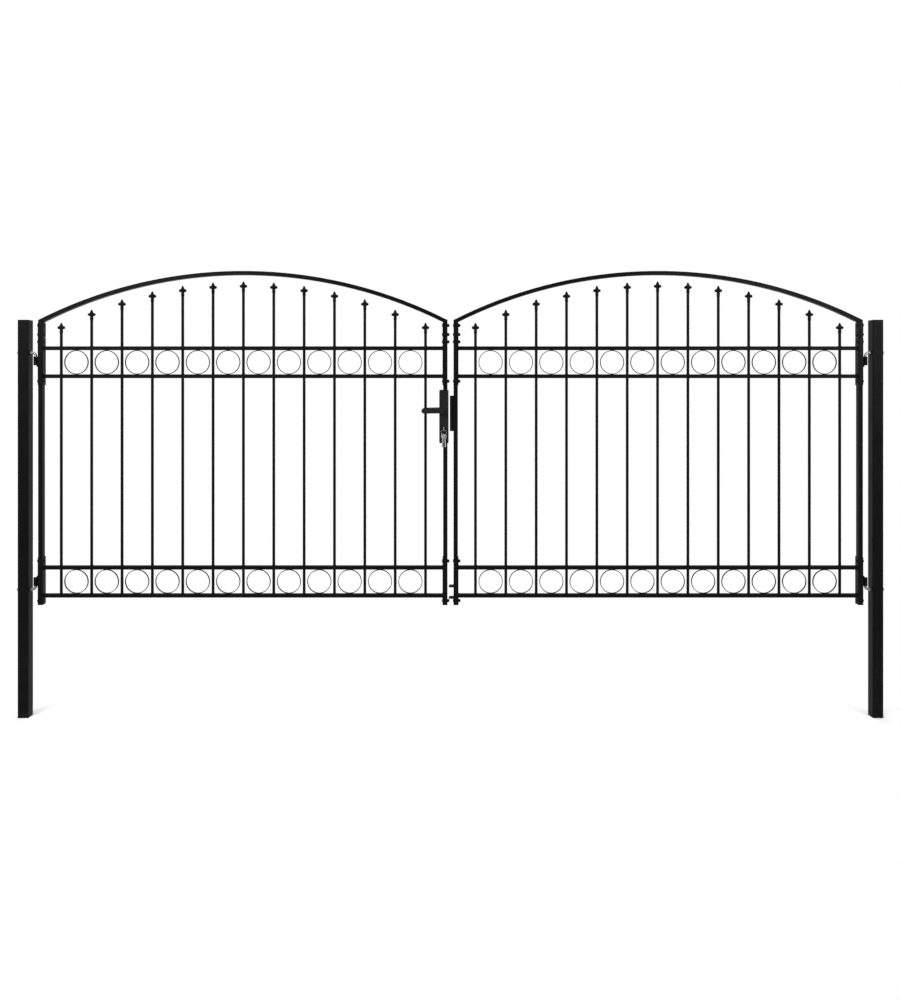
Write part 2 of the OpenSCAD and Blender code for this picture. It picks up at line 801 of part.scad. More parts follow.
module drop_bolt_eyes() {
  for (rise = [lower_eye_rise, upper_eye_rise])
    translate([leaf_end_x, 0, leaf_foot_z + rise - eye_t / 2])
      linear_extrude(eye_t) difference() {
        union() {
          translate([0, -eye_w / 2]) square([eye_len - eye_w / 2, eye_w]);
          intersection() {
            translate([eye_len - eye_w / 2, 0]) circle(d = eye_w);
            translate([0, -eye_w / 2]) square([eye_len, eye_w]);
          }
        }
        translate([eye_len - eye_w / 2, 0]) circle(d = eye_hole_d);
      }
}

color(coat) post();  // left_post
color(coat) on_right() post();  // right_post
color(plastic) post_plugs();  // left_post_plugs
color(plastic) on_right() post_plugs();  // right_post_plugs
color(zinc) hook_bolts();  // left_hook_bolts
color(zinc) on_right() hook_bolts();  // right_hook_bolts
color(zinc) hook_nuts();  // left_hook_nuts
color(zinc) on_right() hook_nuts();  // right_hook_nuts
color(coat) hinge_stile();  // left_hinge_stile
color(coat) split_lock_stile();  // left_lock_stile
color(plastic) stile_plugs();  // left_stile_plugs
color(coat) arch();  // left_arch
color(coat) arch_legs();  // left_arch_legs
color(coat) rail_channels();  // left_rail_channels
color(coat) upper_rails();  // left_upper_rails
color(coat) lower_rails();  // left_lower_rails
color(coat) pickets();  // left_pickets
color(coat) spear_points();  // left_spear_points
color(coat) rings(high_pair);  // left_upper_rings
color(coat) rings(low_pair);  // left_lower_rings
color(coat) hinge_sleeves();  // left_hinge_sleeves
color(coat) on_right() hinge_stile();  // right_hinge_stile
color(coat) on_right() lock_stile();  // right_lock_stile
color(plastic) on_right() stile_plugs();  // right_stile_plugs
color(coat) on_right() arch();  // right_arch
color(coat) on_right() arch_legs();  // right_arch_legs
color(coat) on_right() rail_channels();  // right_rail_channels
color(coat) on_right() upper_rails();  // right_upper_rails
color(coat) on_right() lower_rails();  // right_lower_rails
color(coat) on_right() pickets();  // right_pickets
color(coat) on_right() spear_points();  // right_spear_points
color(coat) on_right() rings(high_pair);  // right_upper_rings
color(coat) on_right() rings(low_pair);  // right_lower_rings
color(coat) on_right() hinge_sleeves();  // right_hinge_sleeves
color(lock_black) lock_case();
color(lock_black) lock_plate();  // lock_front_plate
color(lock_black) mirror([0, 1, 0]) lock_plate();  // lock_back_plate
color(lock_black) lock_cylinder();
color(nickel) latch_bolt();
color(nickel) cylinder_key();
color(nickel) key_ring();
color(nickel) spare_keys();
color(lock_black) at_spindle() lever();  // front_lever
color(lock_black) at_spindle() mirror([0, 1, 0]) lever();  // back_lever
color(zinc) lever_spindle();
color(coat) on_right() keeper();
color(coat) on_right() drop_bolt_eyes();
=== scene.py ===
"""Arched double gate: coating, castings, bolts, welds, hinge hooks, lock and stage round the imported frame."""

import json
import math
import random

import bmesh
import bpy
from bpy.props import FloatProperty, FloatVectorProperty, IntProperty, PointerProperty
from bpy.types import Operator, Panel, PropertyGroup
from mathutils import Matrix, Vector


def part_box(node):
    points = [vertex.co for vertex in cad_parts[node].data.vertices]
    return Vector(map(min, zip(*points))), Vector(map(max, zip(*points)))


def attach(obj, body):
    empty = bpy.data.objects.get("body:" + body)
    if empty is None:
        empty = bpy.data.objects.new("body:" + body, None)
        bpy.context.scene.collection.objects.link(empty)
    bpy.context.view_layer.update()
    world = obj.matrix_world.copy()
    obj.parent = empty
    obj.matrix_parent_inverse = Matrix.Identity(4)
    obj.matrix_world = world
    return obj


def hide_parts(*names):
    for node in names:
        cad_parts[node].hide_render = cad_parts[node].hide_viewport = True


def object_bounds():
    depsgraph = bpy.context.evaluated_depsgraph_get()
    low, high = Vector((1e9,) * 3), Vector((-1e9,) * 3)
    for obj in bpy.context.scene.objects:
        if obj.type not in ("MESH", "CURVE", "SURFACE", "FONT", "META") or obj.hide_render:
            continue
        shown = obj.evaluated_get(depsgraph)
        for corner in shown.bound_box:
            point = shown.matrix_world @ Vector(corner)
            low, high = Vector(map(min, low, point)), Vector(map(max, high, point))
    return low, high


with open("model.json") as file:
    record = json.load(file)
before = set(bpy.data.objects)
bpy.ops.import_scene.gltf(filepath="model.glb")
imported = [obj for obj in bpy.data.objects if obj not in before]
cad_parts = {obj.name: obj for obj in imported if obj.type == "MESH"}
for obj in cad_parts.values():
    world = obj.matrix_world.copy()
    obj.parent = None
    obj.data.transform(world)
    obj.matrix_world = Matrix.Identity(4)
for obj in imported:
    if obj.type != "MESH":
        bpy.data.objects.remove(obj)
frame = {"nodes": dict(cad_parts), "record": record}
CAD_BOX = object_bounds()

bl_info = {
    "name": "Arched double gate",
    "version": (1, 0, 0),
    "blender": (4, 5, 0),
    "location": "View3D > Sidebar > Gate",
    "description": "Dresses the gate's frame with its finishes and fittings",
    "category": "Object",
}

LEAVES = ("left", "right")
ROUND = 48  # points round a turned piece
PICKET_R, PICKET_PITCH = 0.0065, 0.141
MIDDLE_X = (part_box("left_post")[0].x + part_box("right_post")[1].x) / 2
FINISHES = {
    "black_coat": "satin_powder_coat", "lock_black": "lock_enamel", "black_plastic": "moulded_plastic",
    "zinc_plate": "bright_zinc", "nickel_plate": "satin_nickel",
}
SLOTS = {row["node"]: row["material_slot"] for row in frame["record"]["subparts"]}
BODIES = {node: body for body, nodes in frame["record"]["behaviour"]["bodies"].items() for node in nodes}
X_AXIS, Y_AXIS, Z_AXIS = Vector((1, 0, 0)), Vector((0, 1, 0)), Vector((0, 0, 1))


# Settings that a user may change


def length(name, default, description):
    return FloatProperty(
        name=name, description=description, default=default, min=0.0, subtype="DISTANCE", unit="LENGTH"
    )


def colour(name, default, description):
    return FloatVectorProperty(
        name=name, description=description, default=default, size=3, min=0.0, max=1.0, subtype="COLOR"
    )


def share(name, default, description):
    return FloatProperty(
        name=name, description=description, default=default, min=0.0, max=1.0, subtype="FACTOR"
    )


def watts(name, default, description):
    return FloatProperty(name=name, description=description, default=default, min=0.0, unit="POWER")


class GateFinishes(PropertyGroup):
    """Colours and gloss of the gate's finishes"""

    coat: colour("Powder coat", (0.0020, 0.0017, 0.0020), "Colour of the coated steel")
    # Thin coat along edges; the same colour also paints a highlight along the edges
    coat_thin_and_sheen: colour("Thin coat", (0.016, 0.015, 0.0155), "Colour where the coat is thin along an edge")
    coat_roughness: share("Coat roughness", 0.36, "Roughness of the coated steel")
    coat_gloss: share("Coat gloss", 0.047, "How strongly the coated steel mirrors its surroundings")
    enamel: colour("Lock enamel", (0.0066, 0.0060, 0.0066), "Colour of the lock and its levers")
    enamel_roughness: share("Enamel roughness", 0.42, "Roughness of the lock and its levers")
    plastic: colour("Moulded plastic", (0.0014, 0.0013, 0.0014), "Colour of the caps and foot plugs")
    plastic_roughness: share("Plastic roughness", 0.55, "Roughness of the caps and foot plugs")
    zinc: colour("Zinc plate", (0.29, 0.30, 0.31), "Colour of the plated hook bolts and nuts")
    zinc_roughness: share("Zinc roughness", 0.42, "Roughness of the plated hook bolts and nuts")
    nickel: colour("Nickel plate", (0.47, 0.47, 0.47), "Colour of the keys and the latch bolt")
    nickel_roughness: share("Nickel roughness", 0.36, "Roughness of the keys and the latch bolt")
    dust: colour("Dust", (0.11, 0.105, 0.097), "Colour of the faint dust on upper faces and near the feet")


class GateFittings(PropertyGroup):
    """Sizes of the fittings that the frame leaves out"""

    bolt_d: length("Bolt", 0.008, "Diameter of the frame bolts")
    bolt_af: length("Bolt across flats", 0.013, "Width of a frame bolt's nut across its flats")
    bolt_head_d: length("Bolt head", 0.0155, "Diameter of a frame bolt's domed head")
    bolt_head: length("Bolt head height", 0.0030, "Height of a frame bolt's domed head")
    bolt_nut: length("Bolt nut", 0.0065, "Height of a frame bolt's nut")
    bolt_end: length("Bolt end", 0.002, "Length of the thread past a frame bolt's nut")
    bolt_pitch: length("Bolt pitch", 0.00125, "Pitch of a frame bolt's thread")
    washer_d: length("Washer", 0.0165, "Diameter of a frame bolt's washer")
    washer_t: length("Washer thickness", 0.0012, "Thickness of a frame bolt's washer")
    hook_pitch: length("Hook pitch", 0.00175, "Pitch of the thread on a hook bolt's end")
    weld_r: length("Weld bead", 0.0016, "Radius of the weld beads")
    weld_ripple: length("Weld ripple", 0.0022, "Distance between the ripples of a weld bead")
    spear_grid: length("Casting grid", 0.0009, "Fineness of the cast spear points")
    seed: IntProperty(name="Weld seed", description="Seed of the weld beads' uneven look", default=7, min=0)


class GateStage(PropertyGroup):
    """Camera, floor and light"""

    eye: FloatVectorProperty(
        name="Camera", description="Place of the camera", default=(1.975, -4.1, 1.55), size=3,
        subtype="TRANSLATION", unit="LENGTH",
    )
    lens: FloatProperty(
        name="Lens", description="Focal length in millimetres", default=31.77, min=1.0, unit="CAMERA"
    )
    shift_x: FloatProperty(name="Shift X", description="Sideways shift of the lens", default=-0.0005)
    shift_y: FloatProperty(name="Shift Y", description="Upward shift of the lens", default=-0.1175)
    ambient: FloatProperty(name="Ambient", description="Soft light from all sides", default=0.55, min=0.0)
    key: watts("Key light", 330.0, "Large soft lamp in front, to the left")
    fill: watts("Fill light", 170.0, "Soft lamp in front, to the right")
    rim: watts("Rim light", 140.0, "Soft lamp behind and above")
    floor: colour("Floor", (0.93, 0.93, 0.93), "Colour of the floor near the gate")


# Shader trees


def add(tree, kind, values=None, **settings):
    """Adds a node, sets its attributes, and links or fills its inputs."""
    node = tree.nodes.new(kind)
    for key, value in settings.items():
        setattr(node, key, value)
    for socket, value in (values or {}).items():
        if isinstance(value, bpy.types.NodeSocket):
            tree.links.new(value, node.inputs[socket])
        else:
            node.inputs[socket].default_value = value
    return node


def sums(tree, operation, a, b=0.0):
    """The result of a Math node on two values, each a socket or a number."""
    return add(tree, "ShaderNodeMath", {0: a, 1: b}, operation=operation).outputs[0]


def span(tree, value, from_lo, from_hi, to_lo=0.0, to_hi=1.0):
    """Maps one range of a value to another, and keeps it inside that."""
    limits = {1: from_lo, 2: from_hi, 3: to_lo, 4: to_hi}
    return add(tree, "ShaderNodeMapRange", {0: value, **limits}).outputs[0]


def tint(tree, factor, a, b):
    """Mixes two colours, each a socket or three numbers."""
    pair = [c if isinstance(c, bpy.types.NodeSocket) else (*c, 1.0) for c in (a, b)]
    mix = add(tree, "ShaderNodeMix", {0: factor, 6: pair[0], 7: pair[1]}, data_type="RGBA")
    return mix.outputs[2]


def start_group(name, inputs, outputs):
    """Makes an empty shader group with named inputs and outputs."""
    tree = bpy.data.node_groups.new(name, "ShaderNodeTree")
    for socket, default in inputs.items():
        made = tree.interface.new_socket(name=socket, in_out="INPUT", socket_type="NodeSocketFloat")
        made.default_value = default
    for socket, kind in outputs.items():
        tree.interface.new_socket(name=socket, in_out="OUTPUT", socket_type=kind)
    return tree, add(tree, "NodeGroupInput").outputs, add(tree, "NodeGroupOutput").inputs


def noise_at(tree, size, detail=2.0):
    """Noise whose blotches are about that size, fixed to the piece."""
    place = add(tree, "ShaderNodeTexCoord").outputs["Object"]
    scale = sums(tree, "DIVIDE", 1.0, size)
    return add(
        tree, "ShaderNodeTexNoise", {"Vector": place, "Scale": scale, "Detail": detail, "Roughness": 0.55}
    ).outputs["Fac"]


def coat_grain_group():
    """The orange peel of a sprayed or baked finish, its slow mottle and its fine specks."""
    tree, given, out = start_group(
        "coat_grain",
        {"Peel Size": 0.0016, "Mottle Size": 0.12, "Speck Size": 0.0007},
        {"Height": "NodeSocketFloat", "Mottle": "NodeSocketFloat", "Specks": "NodeSocketFloat"},
    )
    tree.links.new(noise_at(tree, given["Peel Size"]), out["Height"])
    tree.links.new(span(tree, noise_at(tree, given["Mottle Size"], 4.0), 0.34, 0.66), out["Mottle"])
    tree.links.new(span(tree, noise_at(tree, given["Speck Size"]), 0.64, 0.74), out["Specks"])


def thin_edge_and_sheen_group():
    """Where a finish is thin along an edge and takes a painted highlight there, and the edge's softened normal.
    """
    tree, given, out = start_group(
        "worn_edges",
        {"Radius": 0.0012, "Patch Size": 0.03},
        {"Mask": "NodeSocketFloat", "Normal": "NodeSocketVector"},
    )
    soft = add(tree, "ShaderNodeBevel", {"Radius": given["Radius"]}, samples=4).outputs["Normal"]
    flat = add(tree, "ShaderNodeNewGeometry").outputs["Normal"]
    turn = add(tree, "ShaderNodeVectorMath", {0: soft, 1: flat}, operation="DOT_PRODUCT").outputs["Value"]
    edge = span(tree, turn, 0.99, 0.80)
    patch = span(tree, noise_at(tree, given["Patch Size"], 3.0), 0.38, 0.62, 0.25, 1.0)
    # The mask marks every edge, for thin coat and for a painted edge highlight
    tree.links.new(sums(tree, "MULTIPLY", edge, patch), out["Mask"])
    tree.links.new(soft, out["Normal"])


def settled_dust_group():
    """Dust that settles on upper faces and is splashed up near the feet."""
    tree, given, out = start_group(
        "settled_dust",
        {"Splash Height": 0.5, "Patch Size": 0.05},
        {"Mask": "NodeSocketFloat"},
    )
    facing = add(tree, "ShaderNodeSeparateXYZ", {0: add(tree, "ShaderNodeNewGeometry").outputs["Normal"]})
    place = add(tree, "ShaderNodeSeparateXYZ", {0: add(tree, "ShaderNodeTexCoord").outputs["Object"]})
    on_top = span(tree, facing.outputs["Z"], 0.55, 1.0, 0.0, 0.7)
    near_foot = span(tree, place.outputs["Z"], given["Splash Height"], 0.0, 0.0, 0.8)
    patch = span(tree, noise_at(tree, given["Patch Size"], 5.0), 0.36, 0.68)
    both = sums(tree, "MAXIMUM", on_top, near_foot)
    tree.links.new(sums(tree, "MULTIPLY", both, patch), out["Mask"])


def place_group(tree, name, **values):
    """Places a shader group with its own values."""
    node = add(tree, "ShaderNodeGroup", node_tree=bpy.data.node_groups[name])
    for socket, value in values.items():
        node.inputs[socket.replace("_", " ")].default_value = value
    return node.outputs


def start_material(name):
    """Makes a material, and gives its node tree and its shader."""
    material = bpy.data.materials.new(name)
    material.use_nodes = True
    return material.node_tree, material.node_tree.nodes["Principled BSDF"]


def finish_surface(tree, shader, base, roughness, height, normal, strength, depth):
    """Links a finish's colour, roughness and bumped normal to its shader."""
    bump = add(
        tree, "ShaderNodeBump",
        {"Strength": strength, "Distance": depth, "Height": height, "Normal": normal},
    )
    tree.links.new(base, shader.inputs["Base Color"])
    tree.links.new(roughness, shader.inputs["Roughness"])
    tree.links.new(bump.outputs["Normal"], shader.inputs["Normal"])


def painted(slot, paint, thin_and_sheen_colour, dust, roughness, gloss, peel, edge_thinning_and_sheen, dusting):
    """A sprayed or moulded black finish with peel, mottle, edges lightened partly for thin coat and partly as a
    painted highlight, and a little dust.
    """
    tree, shader = start_material(FINISHES[slot])
    grain = place_group(tree, "coat_grain", Peel_Size=peel, Mottle_Size=0.12, Speck_Size=0.0007)
    edges = place_group(tree, "worn_edges", Radius=0.0011, Patch_Size=0.03)
    settled = place_group(tree, "settled_dust", Splash_Height=0.45, Patch_Size=0.05)
    lighter = [c * 1.5 for c in paint]
    base = tint(tree, grain["Mottle"], paint, lighter)
    base = tint(tree, sums(tree, "MULTIPLY", grain["Specks"], 0.3), base, thin_and_sheen_colour)
    # Edges lightened: partly thin coat, partly a painted highlight
    base = tint(tree, sums(tree, "MULTIPLY", edges["Mask"], edge_thinning_and_sheen), base, thin_and_sheen_colour)
    base = tint(tree, sums(tree, "MULTIPLY", settled["Mask"], dusting), base, dust)
    rough = span(tree, grain["Mottle"], 0.0, 1.0, roughness - 0.05, roughness + 0.07)
    rough = sums(tree, "ADD", rough, sums(tree, "MULTIPLY", settled["Mask"], 0.2))
    finish_surface(
        tree, shader, base, rough, grain["Height"], edges["Normal"], strength=0.6, depth=0.0003
    )
    shader.inputs["Specular IOR Level"].default_value = gloss


def plated(slot, plate, roughness, peel, streak, dull):
    """A plated metal finish with a cloudy film and fine lines that dull it at random, and edges brightened
    partly by rubbing and partly as a painted highlight.
    """
    tree, shader = start_material(FINISHES[slot])
    grain = place_group(tree, "coat_grain", Peel_Size=peel, Mottle_Size=0.009, Speck_Size=0.0004)
    edges = place_group(tree, "worn_edges", Radius=0.0006, Patch_Size=0.008)
    settled = place_group(tree, "settled_dust", Splash_Height=0.3, Patch_Size=0.02)
    film = [c * dull for c in plate]
    edge_rub_and_glint = [min(1.0, c * 1.25) for c in plate]
    base = tint(tree, grain["Mottle"], plate, film)
    base = tint(tree, sums(tree, "MULTIPLY", grain["Specks"], streak), base, film)
    # Painted highlight along the edges, partly rubbed plate
    base = tint(tree, sums(tree, "MULTIPLY", edges["Mask"], 0.5), base, edge_rub_and_glint)
    rough = span(tree, grain["Mottle"], 0.0, 1.0, roughness - 0.06, roughness + 0.12)
    rough = sums(tree, "ADD", rough, sums(tree, "MULTIPLY", settled["Mask"], 0.1))
    finish_surface(
        tree, shader, base, rough, grain["Height"], edges["Normal"], strength=0.2, depth=0.0001
    )
    shader.inputs["Metallic"].default_value = 1.0


# Mesh making


def put_finish(mesh, slot):
    """Puts a slot's finish on a mesh, with smooth shading."""
    mesh.materials.clear()
    mesh.materials.append(bpy.data.materials[FINISHES[slot]])
    mesh.polygons.foreach_set("use_smooth", [True] * len(mesh.polygons))


def object_from(name, bm):
    """Makes an object of a mesh in the making, and puts it in the scene."""
    mesh = bpy.data.meshes.new(name)
    bm.to_mesh(mesh)
    bm.free()
    made = bpy.data.objects.new(name, mesh)
    bpy.context.scene.collection.objects.link(made)
    return made


def piece_from(name, bm, body, slot, crease=35.0):
    """Makes a smooth-shaded piece, and sets it on its body."""
    bmesh.ops.recalc_face_normals(bm, faces=bm.faces)
    piece = object_from(name, bm)
    put_finish(piece.data, slot)
    piece.data.set_sharp_from_angle(angle=math.radians(crease))
    piece.modifiers.new("even_shading", "WEIGHTED_NORMAL").keep_sharp = True
    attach(piece, body)
    return piece


def stand_in(node, name, bm, crease=35.0):
    """Makes a piece that is shown in place of a frame piece, on its body and with its finish."""
    piece = piece_from(name, bm, BODIES[node], SLOTS[node], crease)
    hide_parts(node)


def eased_copy(node, width, segments=3):
    """A copy of a frame piece with its sharp edges rounded, shown in place of that piece."""
    bm = bmesh.new()
    bm.from_mesh(frame["nodes"][node].data)
    bmesh.ops.remove_doubles(bm, verts=bm.verts, dist=1e-6)
    bmesh.ops.dissolve_limit(bm, angle_limit=math.radians(1.0), verts=bm.verts, edges=bm.edges)
    sharp = [e for e in bm.edges if e.is_manifold and e.calc_face_angle() > math.radians(32)]
    bmesh.ops.bevel(
        bm, geom=sharp, offset=width, offset_type="OFFSET", segments=segments, profile=0.5,
        affect="EDGES", clamp_overlap=True,
    )
    stand_in(node, node + "_eased", bm, crease=50.0)


def loft(bm, rings, closed=False):
    """Joins rings of points with quads; open lofts get a face on each end."""
    made = [[bm.verts.new(p) for p in ring] for ring in rings]
    pairs = list(zip(made, made[1:]))
    if closed:
        pairs.append((made[-1], made[0]))
    for low, high in pairs:
        for i in range(len(low)):
            j = (i + 1) % len(low)
            bm.faces.new((low[i], low[j], high[j], high[i]))
    if not closed:
        bm.faces.new(reversed(made[0]))
        bm.faces.new(made[-1])


def side_axes(axis):
    """Two directions at right angles to an axis and to each other."""
    across = Z_AXIS if abs(axis.z) < 0.9 else X_AXIS
    u = axis.cross(across).normalized()
    return u, axis.cross(u).normalized()


def rays(u, v, steps=ROUND):
    """Angles round a centre, each with its direction in the plane of u and v."""
    turns = [2 * math.pi * i / steps for i in range(steps)]
    return [(a, u * math.cos(a) + v * math.sin(a)) for a in turns]


def circle(centre, u, v, radius, steps=ROUND):
    """Points round a centre; the radius is a number, or a function of the angle."""
    reach = radius if callable(radius) else lambda a: radius
    return [centre + ray * reach(a) for a, ray in rays(u, v, steps)]


def turned(bm, foot, axis, rows, steps=ROUND):
    """Lofts a turned solid from rows of a height along the axis and the radius there."""
    u, v = side_axes(axis)
    loft(bm, [circle(foot + axis * h, u, v, radius, steps) for h, radius in rows])


def collar(bm, foot, axis, section):
    """Turns a section of radii and heights round an axis into a ring."""
    spokes = rays(*side_axes(axis))
    loft(bm, [[foot + ray * r + axis * h for r, h in section] for a, ray in spokes], closed=True)


def hex_radius(across_flats, angle):
    sixth = math.pi / 3
    return across_flats / 2 / math.cos((angle + sixth / 2) % sixth - sixth / 2)


def hex_nut(bm, foot, axis, across_flats, height):
    """A nut with its corners turned off at both ends."""
    corner = across_flats / 2 / math.cos(math.pi / 6)
    chamfer = (corner - across_flats / 2) * 0.62
    face_r = across_flats * 0.485

    def outline(h):
        limit = face_r + (corner - face_r) * min(1.0, min(height - h, h) / chamfer)
        return lambda a: min(hex_radius(across_flats, a), limit)

    steps = [chamfer * k / 4 for k in range(5)]
    levels = steps + [height - s for s in reversed(steps)]
    turned(bm, foot, axis, [(h, outline(h)) for h in levels])


def disc(bm, foot, axis, diameter, height, edge):
    """A round plate with both rims eased."""
    r, nick = diameter / 2, edge * 0.3
    rows = [(0.0, r - edge), (nick, r - nick), (edge, r)]
    turned(bm, foot, axis, rows + [(height - h, radius) for h, radius in reversed(rows)])


def dome(bm, foot, axis, diameter, height):
    """A low round head with a short upright rim."""
    rim, steps = height * 0.3, 7
    turns = [math.pi / 2 * i / steps for i in range(steps)]
    crown = [(rim + (height - rim) * math.sin(a), diameter / 2 * math.cos(a)) for a in turns]
    turned(bm, foot, axis, [(0.0, diameter / 2)] + crown)


def thread_radius(radius, pitch, depth, run, to_end):
    """The radius of a thread round its rod, at a run along it and a distance from its bevelled end."""
    cone = radius - max(0.0, pitch - to_end) * 0.8

    def at(a):
        wave = abs(((run / pitch + a / (2 * math.pi)) % 1.0) * 2 - 1)
        return min(radius - depth * wave, cone)

    return at


def thread(bm, foot, axis, diameter, pitch, reach):
    """A threaded length whose end is bevelled."""
    rows_a_turn, points_round = 9, 36
    steps = max(8, int(reach / pitch * rows_a_turn))
    levels = [reach * i / steps for i in range(steps + 1)]
    rows = [(h, thread_radius(diameter / 2, pitch, pitch * 0.55, h, reach - h)) for h in levels]
    turned(bm, foot, axis, rows, points_round)


def respaced(path, step, closed):
    """The same path with points about one step apart."""
    corners = list(path) + ([path[0]] if closed else [])
    points = []
    for a, b in zip(corners, corners[1:]):
        count = max(1, round((b - a).length / step))
        points += [a.lerp(b, i / count) for i in range(count)]
    return points if closed else points + [corners[-1]]


def bead(bm, path, radius, ripple, dice, closed=False, sides=8):
    """A rippled weld bead along a path, thinner at its ends if it has any."""
    points_a_ripple, wave, uneven = 3.2, 0.16, 0.08
    end_r, end_gain = 0.45, 0.3
    points = respaced(path, ripple / points_a_ripple, closed)
    count = len(points)
    rings = []
    side = None
    run = 0.0
    for i, p in enumerate(points):
        ahead = points[(i + 1) % count] if closed or i + 1 < count else p
        behind = points[i - 1] if closed or i > 0 else p
        along = (ahead - behind).normalized()
        if side is None:
            side = side_axes(along)[0]
        side = (side - along * side.dot(along)).normalized()
        run += (p - behind).length if i else 0.0
        r = radius * (1.0 + wave * math.sin(2 * math.pi * run / ripple) + dice.uniform(-uneven, uneven))
        if not closed:
            r *= min(1.0, end_r + end_gain * min(i, count - 1 - i))
        rings.append(circle(p, side, along.cross(side), r, sides))
    loft(bm, rings, closed)


def box_path(centre, u, v, half_u, half_v, corner):
    """A rectangle with rounded corners in the plane of u and v."""
    corner_steps = 3
    path = []
    for quarter, (su, sv) in enumerate(((1, 1), (-1, 1), (-1, -1), (1, -1))):
        for i in range(corner_steps + 1):
            a = math.pi / 2 * (quarter + i / corner_steps)
            path.append(
                centre + u * (su * (half_u - corner) + corner * math.cos(a))
                + v * (sv * (half_v - corner) + corner * math.sin(a))
            )
    return path


def mirrored(point, side):
    """A point on the left half, or its mirror image on the right half."""
    if side == "left":
        return point
    return Vector((2 * MIDDLE_X - point.x, point.y, point.z))


def even_places(first, last, count):
    """Evenly spaced places from the first to the last."""
    return [first + (last - first) * i / (count - 1) for i in range(count)]


def picket_places(side):
    """Where along X the pickets of a leaf stand."""
    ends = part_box(side + "_pickets")
    first, last = ends[0].x + PICKET_R, ends[1].x - PICKET_R
    return even_places(first, last, round((last - first) / PICKET_PITCH) + 1)


# Operators


class GATE_OT_finishes(Operator):
    """Makes the five finishes and puts them on the frame's pieces"""

    bl_idname = "gate.finishes"
    bl_label = "Finishes"

    def execute(self, context):
        look = context.scene.gate_finishes
        coat_grain_group()
        thin_edge_and_sheen_group()
        settled_dust_group()
        painted(
            "black_coat", look.coat, look.coat_thin_and_sheen, look.dust, look.coat_roughness, look.coat_gloss,
            peel=0.0022, edge_thinning_and_sheen=0.3, dusting=0.04,
        )
        painted(
            "lock_black", look.enamel, look.coat_thin_and_sheen, look.dust, look.enamel_roughness, gloss=0.09,
            peel=0.0009, edge_thinning_and_sheen=0.5, dusting=0.05,
        )
        painted(
            "black_plastic", look.plastic, look.coat_thin_and_sheen, look.dust, look.plastic_roughness, gloss=0.02,
            peel=0.0006, edge_thinning_and_sheen=0.12, dusting=0.03,
        )
        plated("zinc_plate", look.zinc, look.zinc_roughness, peel=0.0012, streak=0.35, dull=0.78)
        plated("nickel_plate", look.nickel, look.nickel_roughness, peel=0.0005, streak=0.2, dull=0.85)
        for node, slot in SLOTS.items():
            put_finish(frame["nodes"][node].data, slot)
        return {"FINISHED"}


class GATE_OT_spear_points(Operator):
    """Casts a smooth spear point for the top of each picket"""

    bl_idname = "gate.spear_points"
    bl_label = "Spear points"

    socket_r, waist_r, bulge_r, spike_r, tip_r = 0.0076, 0.0066, 0.0080, 0.0079, 0.0017
    height, socket_h, arm_drop, lip = 0.050, 0.016, 0.023, 0.0006
    arm, arm_r, arm_end_r, arm_depth = 0.0172, 0.0098, 0.0056, 0.0072
    half_w = 0.02

    def stem(self, bm):
        """The socket, waist and bulge, and the spike above them."""
        arm_h = self.height - self.arm_drop
        turned(bm, Vector((0, 0, -self.height)), Z_AXIS, [
            (0.0, self.socket_r - self.lip), (self.lip, self.socket_r), (self.socket_h, self.socket_r),
            (self.socket_h + 0.0014, self.waist_r + 0.0004), (self.socket_h + 0.0032, self.waist_r),
            (arm_h - 0.004, self.bulge_r - 0.0002), (arm_h, self.bulge_r),
            (arm_h + 0.0096, self.spike_r), (arm_h + 0.016, self.spike_r * 0.62 + self.tip_r * 0.38),
            (self.height, self.tip_r),
        ], steps=32)

    def arms(self, bm):
        """The two arms across the stem, flattened towards the front and the back."""
        half = [
            (0.0, self.arm_end_r * 0.6), (self.lip, self.arm_end_r * 0.85), (0.0016, self.arm_end_r),
            (self.arm * 0.5, (self.arm_r + self.arm_end_r) / 2), (self.arm, self.arm_r),
        ]
        rows = half + [(2 * self.arm - h, r) for h, r in reversed(half[:-1])]
        thin = (self.arm_depth - self.arm_end_r) / self.arm ** 2

        def flattened(h, r):
            depth = self.arm_depth - thin * (h - self.arm) ** 2
            return lambda a: min(r, depth / max(abs(math.cos(a)), 0.001))

        foot = Vector((-self.arm, 0, -self.arm_drop))
        turned(bm, foot, X_AXIS, [(h, flattened(h, r)) for h, r in rows])

    def casting(self, grid):
        """One spear point with its tip at the origin, fused and smoothed like a casting."""
        bm = bmesh.new()
        self.stem(bm)
        self.arms(bm)
        block = object_from("spear_casting", bm)
        fused = block.modifiers.new("fuse", "REMESH")
        fused.mode, fused.voxel_size = "VOXEL", grid
        smooth = block.modifiers.new("smooth", "SMOOTH")
        smooth.factor, smooth.iterations = 0.5, 3
        bpy.context.view_layer.update()
        depsgraph = bpy.context.evaluated_depsgraph_get()
        cast = bpy.data.meshes.new_from_object(block.evaluated_get(depsgraph))
        bpy.data.objects.remove(block)
        return cast

    def tips(self, side):
        """The tip of each spear point, found on the frame's own points."""
        points = [v.co for v in frame["nodes"][side + "_spear_points"].data.vertices]
        reach = self.half_w
        tops = []
        for x in picket_places(side):
            near = [p.z for p in points if abs(p.x - x) < reach]
            tops.append(Vector((x, 0.0, max(near))))
        return tops

    def execute(self, context):
        cast = self.casting(context.scene.gate_fittings.spear_grid)
        for side in LEAVES:
            bm = bmesh.new()
            for tip in self.tips(side):
                before = len(bm.verts)
                bm.from_mesh(cast)
                bm.verts.ensure_lookup_table()
                bmesh.ops.translate(bm, verts=bm.verts[before:], vec=tip)
            stand_in(side + "_spear_points", side + "_spear_castings", bm, crease=70.0)
        return {"FINISHED"}


